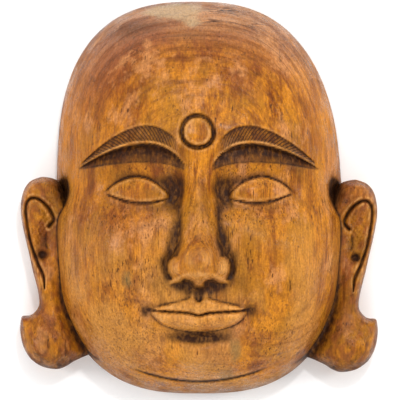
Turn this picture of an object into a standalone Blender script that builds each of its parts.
"""A hollow wall mask carved from one block of wood: a bald head with long, heavy ears.

The mask lies on its flat back rim with the face up. +Z points out of the face, +Y to the
crown and +X to the right of whoever looks at it. Sizes are metres. The carving is laid out
on a carver's grid, so many parts across the head's width, height and depth, and the ears
on a second grid of their own, so both keep their proportions when a size is changed.
"""
import bpy
import bmesh
import numpy as np

# The head
HEAD_HEIGHT = 0.400      # crown to chin
HEAD_WIDTH = 0.300       # cheek to cheek, without the ears
HEAD_DEPTH = 0.116       # back rim to the middle of the forehead
CROWN_LEAN = 0.0055      # how far the top of the head leans to the left
RIM_WIDTH = 0.024        # the flat rim that the mask lies on
FOREHEAD_WALL = 0.044    # wood left between the hollow and the forehead

# The ears
EAR_HEIGHT = 0.196       # top of the ear to the bottom of its lobe
EAR_THICKNESS = 0.036    # front to back at the middle of the ear
EAR_BACK = 0.006         # height of the ear's back over the rim's plane
EAR_TOP = 0.020          # top of the ears over the middle of the head
EAR_STEP = 0.003         # how much the left ear stands higher than the right one

# The wood
WOOD_COLOUR = (0.49, 0.20, 0.055, 1.0)
WOOD_ROUGHNESS = 0.42

# The grids that the carving is laid out on, in parts
GRID_HEIGHT = 400
GRID_WIDTH = 300
GRID_DEPTH = 116
EAR_GRID_HEIGHT = 196

# How finely the surfaces are sampled, and how many faces the simplified ones keep
HEAD_CELLS = 232
HEAD_KEPT = 0.056
EAR_CELLS_ALONG = 110
EAR_CELLS_ACROSS = 40
EAR_KEPT = 0.062
HOLLOW_CELLS = 18
OVERLAP = 0.012          # how far a joined shape or a cutter runs past the face it meets


def ramp(start, end, value):
    """0 before start and 1 after end, with a soft turn at both"""
    share = np.clip((value - start) / (end - start), 0, 1)
    return share * share * (3 - 2 * share)


def blend_over(low, high, softness):
    """The higher of two surfaces, with the corner between them rounded"""
    return 0.5 * (low + high + np.sqrt((low - high) ** 2 + softness ** 2))


def blend_under(low, high, softness):
    """The lower of two surfaces, with the corner between them rounded"""
    return 0.5 * (low + high - np.sqrt((low - high) ** 2 + softness ** 2))


def reach(x, y, at, size, turn=0.0):
    """Distance from a centre, 1 on an ellipse of the given half sizes that may be turned"""
    across = (x - at[0]) * np.cos(turn) + (y - at[1]) * np.sin(turn)
    along = (y - at[1]) * np.cos(turn) - (x - at[0]) * np.sin(turn)
    return np.hypot(across / size[0], along / size[1])


def mound(x, y, at, size, height, turn=0.0):
    """A soft round swelling, or a hollow where the height is negative"""
    return height * np.exp(-reach(x, y, at, size, turn) ** 2)


def crease(distance, width, depth):
    """A cut with round edges, as a V gouge leaves it"""
    return -depth * np.exp(-(distance / width) ** 2)


def outline_power(y):
    """How square the head's outline is, 2 being an ellipse"""
    return 2.60 + 0.15 * ramp(60, -60, y)


def outline_half(y):
    """Half the width that the outline would have in its middle, less over the ears"""
    return GRID_WIDTH / 2 - 5 * ramp(-30, 30, y)


def outline_radius(x, y):
    """0 at the middle of the face and 1 on its outline, an oval that is squarer at the jaw"""
    power = outline_power(y)
    across = np.abs(x) / outline_half(y)
    along = np.abs(y) / (GRID_HEIGHT / 2)
    return (across ** power + along ** power) ** (1 / power)


def dome(x, y):
    """The plain head before carving, steep at the rim and fuller towards the jaw"""
    fullness = 2.55 + 0.85 * ramp(40, -170, y)
    return GRID_DEPTH * np.sqrt(np.clip(1 - outline_radius(x, y) ** fullness, 0, 1))


def arch(share, sharpness=1.0, skew=1.0):
    """A bow that is 0 at both ends and 1 at its top"""
    return np.sin(np.pi * np.clip(share, 0, 1) ** skew) ** sharpness


def add_cheeks(x, y, z):
    """Temples pressed in, cheekbones and jowls filled out, and the forehead rounded"""
    z = z + mound(x, y, at=(126, 44), size=(22, 40), height=-5)
    z = z + mound(x, y, at=(72, -50), size=(34, 34), height=8)
    z = z + mound(x, y, at=(96, -100), size=(34, 44), height=5)
    z = z + mound(x, y, at=(44, -88), size=(9, 26), height=-3, turn=-0.45)
    z = z + mound(x, y, at=(62, 58), size=(58, 22), height=4)
    return z


def brow_line(x):
    """Middle line of the brow, a high even bow"""
    share = np.clip((x - 12) / 106, 0, 1)
    return 27 + 33 * arch(share, 0.85, 0.66) + 3 * share


def brow_half(x):
    """Half the brow's width, fading to both ends"""
    share = np.clip((x - 8) / 112, 0, 1)
    return 0.7 + 8.2 * arch(share, 0.9, 0.62)


def under_brow(x, y):
    """Distance below the brow, and the height of the slanting cut there"""
    share = np.clip((x - 13) / 107, 0, 1)
    return brow_line(x) - 0.98 * brow_half(x) - y, 0.3 + 18 * arch(share, 0.75, 0.66)


def add_sockets(x, y, z):
    """The hollow of the eye, and the flat cut above it that slants in to the brow's edge"""
    z = z + mound(x, y, at=(56, 8), size=(42, 27), height=-12, turn=-0.1)
    z = z + mound(x, y, at=(25, 6), size=(15, 22), height=-8)
    below, height = under_brow(x, y)
    cut = ramp(-0.7, 0.7, below) * np.clip(1 - below / height, 0, 1)
    return z - 0.50 * height * cut


def add_eyes(x, y, z):
    """Lowered lids: an eyeball under an upper lid that leaves a narrow lens open"""
    corner_in, corner_out, middle = 29, 92, 60
    share = (x - corner_in) / (corner_out - corner_in)
    chord = 5 * share - 1
    upper_edge = chord - 5.5 * arch(share, 1.15)
    lower_edge = chord - 10 * arch(share)
    fold = chord + 17 * arch(share, 0.85, 0.92) + 1.5
    round_off = reach(x, y, at=(middle, 2), size=(37, 27), turn=0.06)
    ball = np.where(round_off < 1, np.sqrt(np.clip(1 - round_off ** 2, 0, 1)), 2.5 * (1 - round_off))
    ball = dome(np.array(60.0), np.array(3.0)) - 27 + 22 * ball - 0.2 * (x - middle)
    along = ramp(-0.02, 0.10, share) * ramp(1.02, 0.90, share)
    lid = 3.0 * ramp(-0.8, 0.8, y - upper_edge) * ramp(0.8, -0.8, y - fold)
    rest = 2.2 * ramp(0.8, -0.8, y - lower_edge)
    z = blend_over(z, ball + (lid + rest) * along, 1.4)
    z = z + crease(y - fold, 1.2, 2.4) * ramp(-0.04, 0.14, share) * ramp(1.10, 0.88, share)
    return z + crease(y - upper_edge + 0.9, 0.9, 1.8) * ramp(0, 0.12, share) * ramp(1.04, 0.92, share)


def add_brows(x, y, z):
    """The brow: a ridge along its lower edge, under a band dished into the forehead"""
    place = (y - brow_line(x)) / brow_half(x)
    inside = ramp(-1.10, -0.92, place) * ramp(1.06, 0.94, place) * ramp(12, 30, x) * ramp(120, 110, x)
    profile = 3.4 * np.exp(-((place + 0.84) / 0.28) ** 2) + 1.2 - 3.0 * ramp(-0.6, 0.9, place)
    return z + profile * inside


def add_nose(x, y, z):
    """A straight ridge that widens and rises to a round tip, between two wings"""
    root, tip, base = 34, -62, -86.5
    share = np.clip((root - y) / (root - tip), 0, 1)
    crest = 115.5 + 38 * (0.16 * share + 0.84 * share ** 1.4)
    softness = 6 + 4.5 * share + 8 * ramp(root - 22, root + 6, y)
    slope = 1.45 + 0.5 * share - 0.6 * ramp(root - 30, root, y)
    ridge = crest - slope * (np.sqrt(x * x + softness ** 2) - softness)
    ridge = ridge - 260 * ramp(root - 4, root + 60, y) ** 1.6
    ball = 157 - 26 * reach(x, y, at=(0, -60), size=(18, 21)) ** 2.2
    wing = 138.5 - 26 * reach(x, y, at=(18.5, -67), size=(12.5, 13)) ** 2.5
    shape = blend_over(blend_over(ridge, ball, 6), wing, 5)
    underside = 119 + 2.9 * (y - base - 4.5 * ramp(1, 17, x))
    z = blend_over(z, blend_under(shape, underside, 4), 3)
    z = z + mound(x, y, at=(9.5, -81.5), size=(5.4, 2.8), height=-9, turn=0.25)
    round_wing = reach(x, y, at=(16.5, -67), size=(17, 15.5)) - 1
    return z + crease(round_wing, 0.10, 3.0) * ramp(20, 29, x) * ramp(-84, -77, y)


def add_mouth(x, y, z):
    """Closed, full lips on a soft muzzle, with dimples at the corners"""
    middle = -113
    z = z + mound(x, y, at=(0, -109), size=(44, 27), height=9)
    groove = ramp(-84, -89, y) * ramp(-103, -99, y)
    z = z + groove * (1.8 * np.exp(-((x - 6.2) / 2.4) ** 2) - 1.6 * np.exp(-(x / 3.6) ** 2))
    share = np.clip(x / 47, 0, 1)
    lift = 3.2 * share ** 3
    seam = middle + 1.2 * np.sin(np.pi * share) + lift - 1.8 * np.exp(-(x / 6) ** 2)
    bow = middle + lift + 13.5 * (1 - share ** 1.7) * (1 + 0.1 * np.exp(-((x - 8) / 6) ** 2))
    bow = bow - 3.4 * np.exp(-(x / 5) ** 2) + 0.8
    lower = middle + lift - 16.5 * np.sqrt(np.clip(1 - share ** 2.1, 0, 1)) - 0.5
    up = (y - seam) / (bow - seam)
    down = np.clip((seam - y) / (seam - lower), 0, 1)
    upper_lip = (4.6 * np.sin(np.pi * (0.16 + 0.70 * np.clip(up, 0, 1))) + 0.6) * ramp(1.06, 0.96, up)
    lower_lip = 7.6 * np.clip(np.sin(np.pi * (0.10 + 0.86 * down)), 0, 1) ** 0.8 * (down < 1)
    z = z + np.where(y > seam, upper_lip, lower_lip) * ramp(48.5, 38, x)
    z = z + crease(y - seam, 1.25, 4.2) * ramp(52, 42, x)
    z = z + mound(x, y, at=(52, middle + 3), size=(8, 9), height=-5)
    return z + mound(x, y, at=(0, -138), size=(30, 7), height=-7)


def add_chin(x, y, z):
    """A round chin, with one shallow fold under it"""
    z = z + mound(x, y, at=(0, -160), size=(30, 18), height=12)
    fold = -183 + 15 * (x / 70) ** 2
    return z + crease(y - fold, 1.8, 3.0) * ramp(78, 46, x)


def add_brow_mark(x, y, z):
    """The round mark between the brows: a flat disc in a ring-shaped groove"""
    radius = np.hypot(x, y - 64)
    return z + 2.6 * ramp(14.2, 12.8, radius) + crease(radius - 15.6, 2.0, 4.4)


def carved_head(x, y):
    """Height of the carved head over the back rim, all in parts of the grid"""
    side = np.abs(x)
    z = dome(x, y)
    for carve in (add_cheeks, add_sockets, add_eyes, add_brows, add_nose, add_mouth, add_chin, add_brow_mark):
        z = carve(side, y, z)
    z = z + mound(side, y, at=(138, 3), size=(8, 15), height=-26, turn=0.2)
    return np.where(outline_radius(x, y) < 1, np.maximum(z, 0), 0)


def round_the_square(across, along):
    """Places of a square grid moved onto an oval, its rings closing up towards the rim"""
    across = across * (0.74 + 0.26 * across ** 2)
    along = along * (0.80 + 0.20 * along ** 2)
    a = across * np.sqrt(1 - along ** 2 / 2)
    b = along * np.sqrt(1 - across ** 2 / 2)
    share = np.minimum(np.hypot(a, b), 1)
    wanted = np.sin(share * np.pi / 2)
    x = a * GRID_WIDTH / 2
    y = b * GRID_HEIGHT / 2
    for _ in range(6):
        scale = wanted / np.maximum(outline_radius(x, y), 1e-9)
        x = x * scale
        y = y * scale
    return x, y


def lean(y):
    """How far the head leans over sideways at a height over its middle, in metres"""
    return -CROWN_LEAN * ramp(0, HEAD_HEIGHT / 2, y)


def new_object(name, mesh_data, collection):
    """An object made from a bmesh, which is closed and freed"""
    bmesh.ops.recalc_face_normals(mesh_data, faces=mesh_data.faces)
    mesh = bpy.data.meshes.new(name)
    mesh_data.to_mesh(mesh)
    mesh_data.free()
    item = bpy.data.objects.new(name, mesh)
    collection.objects.link(item)
    return item


def oval_block(name, cells, width, height, heights, foot, collection):
    """A block with an oval outline, a worked top and a flat foot, grown from a grid"""
    block = bmesh.new()
    bmesh.ops.create_grid(block, x_segments=cells, y_segments=cells, size=1)
    places = np.array([vertex.co for vertex in block.verts])
    x, y = round_the_square(places[:, 0], places[:, 1])
    z = heights(x, y)
    y = y * height / GRID_HEIGHT
    x = x * width / GRID_WIDTH + lean(y)
    for vertex, a, b, c in zip(block.verts, x, y, z):
        vertex.co = (a, b, c)
    border = [edge for edge in block.edges if edge.is_boundary]
    skirt = bmesh.ops.extrude_edge_only(block, edges=border)["geom"]
    lower = [item for item in skirt if isinstance(item, bmesh.types.BMVert)]
    for vertex in lower:
        vertex.co.z = foot
    bmesh.ops.holes_fill(block, edges=[edge for edge in block.edges if edge.is_boundary])
    return new_object(name, block, collection)


def head_block(collection):
    """The carved head, solid, reaching a little below the rim's plane"""
    def heights(x, y):
        return carved_head(x, y) * HEAD_DEPTH / GRID_DEPTH

    head = oval_block("mask", HEAD_CELLS, HEAD_WIDTH, HEAD_HEIGHT, heights, -OVERLAP, collection)
    simplify = head.modifiers.new("fewer faces", "DECIMATE")
    simplify.ratio = HEAD_KEPT
    return head


def hollow_cutter(collection):
    """The bowl hollowed out of the back, which leaves the rim and the forehead's wall"""
    depth = HEAD_DEPTH - FOREHEAD_WALL

    def heights(x, y):
        return depth * np.sqrt(np.clip(1 - outline_radius(x, y) ** 2.4, 0, 1))

    width = HEAD_WIDTH - 2 * RIM_WIDTH
    height = HEAD_HEIGHT - 2 * RIM_WIDTH
    return oval_block("hollow", HOLLOW_CELLS, width, height, heights, -2 * OVERLAP, collection)


def smooth_line(points, count):
    """A curve through a few points, as count places evenly spread along it"""
    ends = np.array([2 * points[0] - points[1], 2 * points[-1] - points[-2]])
    knots = np.vstack([ends[:1], points, ends[1:]])
    share = np.linspace(0, 1, 24, endpoint=False)[:, None]
    pieces = []
    for a, b, c, d in zip(knots[:-3], knots[1:-2], knots[2:-1], knots[3:]):
        bend = (2 * a - 5 * b + 4 * c - d) * share ** 2 + (3 * b - a - 3 * c + d) * share ** 3
        pieces.append(0.5 * (2 * b + (c - a) * share + bend))
    line = np.vstack(pieces + [points[-1:]])
    length = np.append(0, np.cumsum(np.hypot(*np.diff(line[:, :2], axis=0).T)))
    wanted = np.linspace(0, length[-1], count)
    return np.column_stack([np.interp(wanted, length, column) for column in line.T])


# The ear, in parts of its own grid: out from the head's side, and up from the ear's level. The
# rim's third number is the height at which the head's wall carries that stretch of it.
EAR_RIM = np.array([
    (-18.5, -9, -15), (-15.6, -3.5, -15.3), (-13.2, 4, -15.6), (-6.5, 15.6, -16), (6, 19.4, -16.4), (13.5, 18.2, -17),
    (21, 14.6, -18), (26.7, 7.2, -19.5), (29.9, -4, -22), (30.4, -16, -27), (28.9, -28, -35), (25.8, -43, -47),
    (22.2, -58, -60), (18.2, -76, -77), (13.3, -95, -94), (11.7, -107, -105), (13.2, -113.5, -113),
    (18, -119, -120), (22.5, -121, -124), (28.7, -121.6, -128), (30.4, -126, -131), (31, -136, -135),
    (28.9, -149, -139.5), (24.8, -158.5, -143), (18.5, -166.5, -145.5), (7.8, -173, -147), (-6, -175.3, -148),
    (-15, -172.6, -148.5), (-23, -167.6, -149), (-34, -162.5, -149.5), (-44, -159, -150)])
EAR_GROOVE = np.array([
    (1, -30.5), (-3.8, -23.5), (0, -14), (7, -5.5), (14.5, -1.8), (21, -4.2), (24, -13), (22.5, -30),
    (18.5, -50), (12.5, -67), (6.5, -80), (5, -93)])
EAR_FOLD = np.array([(-8, -20), (-8, -55), (-12, -98), (-24, -133), (-41, -162)])
EAR_TOP_PART = 20


def distance_to(line, x, y):
    """Distance from each place to the nearest stretch of a line"""
    nearest = np.full(np.shape(x), 1e9)
    for (ax, ay), (bx, by) in zip(line[:-1], line[1:]):
        run, rise = bx - ax, by - ay
        share = np.clip(((x - ax) * run + (y - ay) * rise) / (run ** 2 + rise ** 2), 0, 1)
        nearest = np.minimum(nearest, np.hypot(x - ax - share * run, y - ay - share * rise))
    return nearest


def ear_front(x, y, thickness):
    """Front of the ear over its back: folded rim, groove, pit, and the ball of the lobe"""
    groove = distance_to(smooth_line(EAR_GROOVE, 40), x, y) / (0.35 + 0.65 * ramp(-95, -76, y))
    z = np.full(np.shape(x), float(thickness))
    z = z + mound(x, y, at=(3, 7), size=(24, 19), height=12)
    z = z + mound(x, y, at=(0, -12), size=(5, 9), height=-3, turn=-0.55)
    z = z + mound(x, y, at=(2, -149), size=(25, 24), height=14)
    z = z + crease(groove, 1.7, 5.5)
    z = z + crease(distance_to(EAR_FOLD, x, y), 6.5, 9 * ramp(-60, -110, y))
    z = z + mound(x, y, at=(8, -40), size=(11, 26), height=-6, turn=0.12)
    z = z + mound(x, y, at=(9, -22), size=(6, 15), height=3.5, turn=0.15)
    return z + mound(x, y, at=(7.7, -59.3), size=(6.2, 4.6), height=-7)


def ear_root(y):
    """Where the ear starts, inside the head's wall"""
    power = outline_power(y)
    half_width = outline_half(y) * (1 - (np.abs(y) / (GRID_HEIGHT / 2)) ** power) ** (1 / power)
    return 0.88 * half_width - GRID_WIDTH / 2


def ear_block(name, side, level, collection):
    """One ear, a closed shape whose root runs into the head's side wall"""
    part = EAR_HEIGHT / EAR_GRID_HEIGHT
    rim = smooth_line(EAR_RIM, EAR_CELLS_ALONG + 1)
    root_x = ear_root(rim[:, 2:])
    across = np.sin(np.linspace(0, 1, EAR_CELLS_ACROSS + 1) * np.pi / 2)[None, :]
    x = root_x * (1 - across) + rim[:, :1] * across
    y = rim[:, 2:] * (1 - across) + rim[:, 1:2] * across
    edge = distance_to(rim[:, :2], x, y)
    turn_radius = 9 + 6 * ramp(-128, -150, y) - mound(x, y, at=(27, -120), size=(12, 8), height=5)
    fade = np.clip(edge / turn_radius, 0, 1)
    round_edge = np.sqrt(1 - (1 - fade) ** 2)
    thickness = EAR_THICKNESS / part
    middle = 0.42 * thickness
    front = middle + (ear_front(x, y, thickness) - middle) * round_edge
    back = middle - middle * round_edge
    ear = bmesh.new()
    rows = []
    for step in range(EAR_CELLS_ALONG + 1):
        loop = []
        for column in range(EAR_CELLS_ACROSS + 1):
            loop.append((x[step, column], y[step, column], back[step, column]))
        for column in range(EAR_CELLS_ACROSS - 1, -1, -1):
            loop.append((x[step, column], y[step, column], front[step, column]))
        rows.append([ear.verts.new((side * (HEAD_WIDTH / 2 + a * part), level + (b - EAR_TOP_PART) * part,
                                    EAR_BACK + c * part)) for a, b, c in loop])
    for lower, upper in zip(rows[:-1], rows[1:]):
        for corner in range(len(lower)):
            after = (corner + 1) % len(lower)
            ear.faces.new((lower[corner], lower[after], upper[after], upper[corner]))
    ear.faces.new(rows[0])
    ear.faces.new(rows[-1])
    item = new_object(name, ear, collection)
    simplify = item.modifiers.new("fewer faces", "DECIMATE")
    simplify.ratio = EAR_KEPT
    return item


def trim_block(collection):
    """A slab whose top is the rim's plane, to cut the back flat"""
    slab = bmesh.new()
    bmesh.ops.create_cube(slab, size=1)
    size = (2 * HEAD_WIDTH, 2 * HEAD_HEIGHT, 4 * OVERLAP)
    bmesh.ops.scale(slab, vec=size, verts=slab.verts)
    bmesh.ops.translate(slab, vec=(0, 0, -size[2] / 2), verts=slab.verts)
    return new_object("rim plane", slab, collection)


def wood():
    """Stained and waxed wood"""
    material = bpy.data.materials.new("waxed wood")
    material.use_nodes = True
    shader = material.node_tree.nodes["Principled BSDF"]
    shader.inputs["Base Color"].default_value = WOOD_COLOUR
    shader.inputs["Roughness"].default_value = WOOD_ROUGHNESS
    shader.inputs["Metallic"].default_value = 0.0
    return material


def join_or_cut(item, tool, operation):
    """Join a shape to the mask, or cut it away, and show the tool as wires only"""
    change = item.modifiers.new(tool.name, "BOOLEAN")
    change.operation = operation
    change.solver = "EXACT"
    change.object = tool
    tool.hide_render = True
    tool.display_type = "WIRE"


def main():
    for item in list(bpy.data.objects):
        bpy.data.objects.remove(item)
    collections = {}
    for name in ("mask", "cutters"):
        collections[name] = bpy.data.collections.new(name)
        bpy.context.scene.collection.children.link(collections[name])
    tools = collections["cutters"]

    mask = head_block(collections["mask"])
    for name, side in (("left ear", -1), ("right ear", 1)):
        level = EAR_TOP - side * EAR_STEP / 2
        join_or_cut(mask, ear_block(name, side, level, tools), "UNION")
    join_or_cut(mask, hollow_cutter(tools), "DIFFERENCE")
    join_or_cut(mask, trim_block(tools), "DIFFERENCE")
    mask.data.materials.append(wood())
    mask.data.shade_smooth()


main()
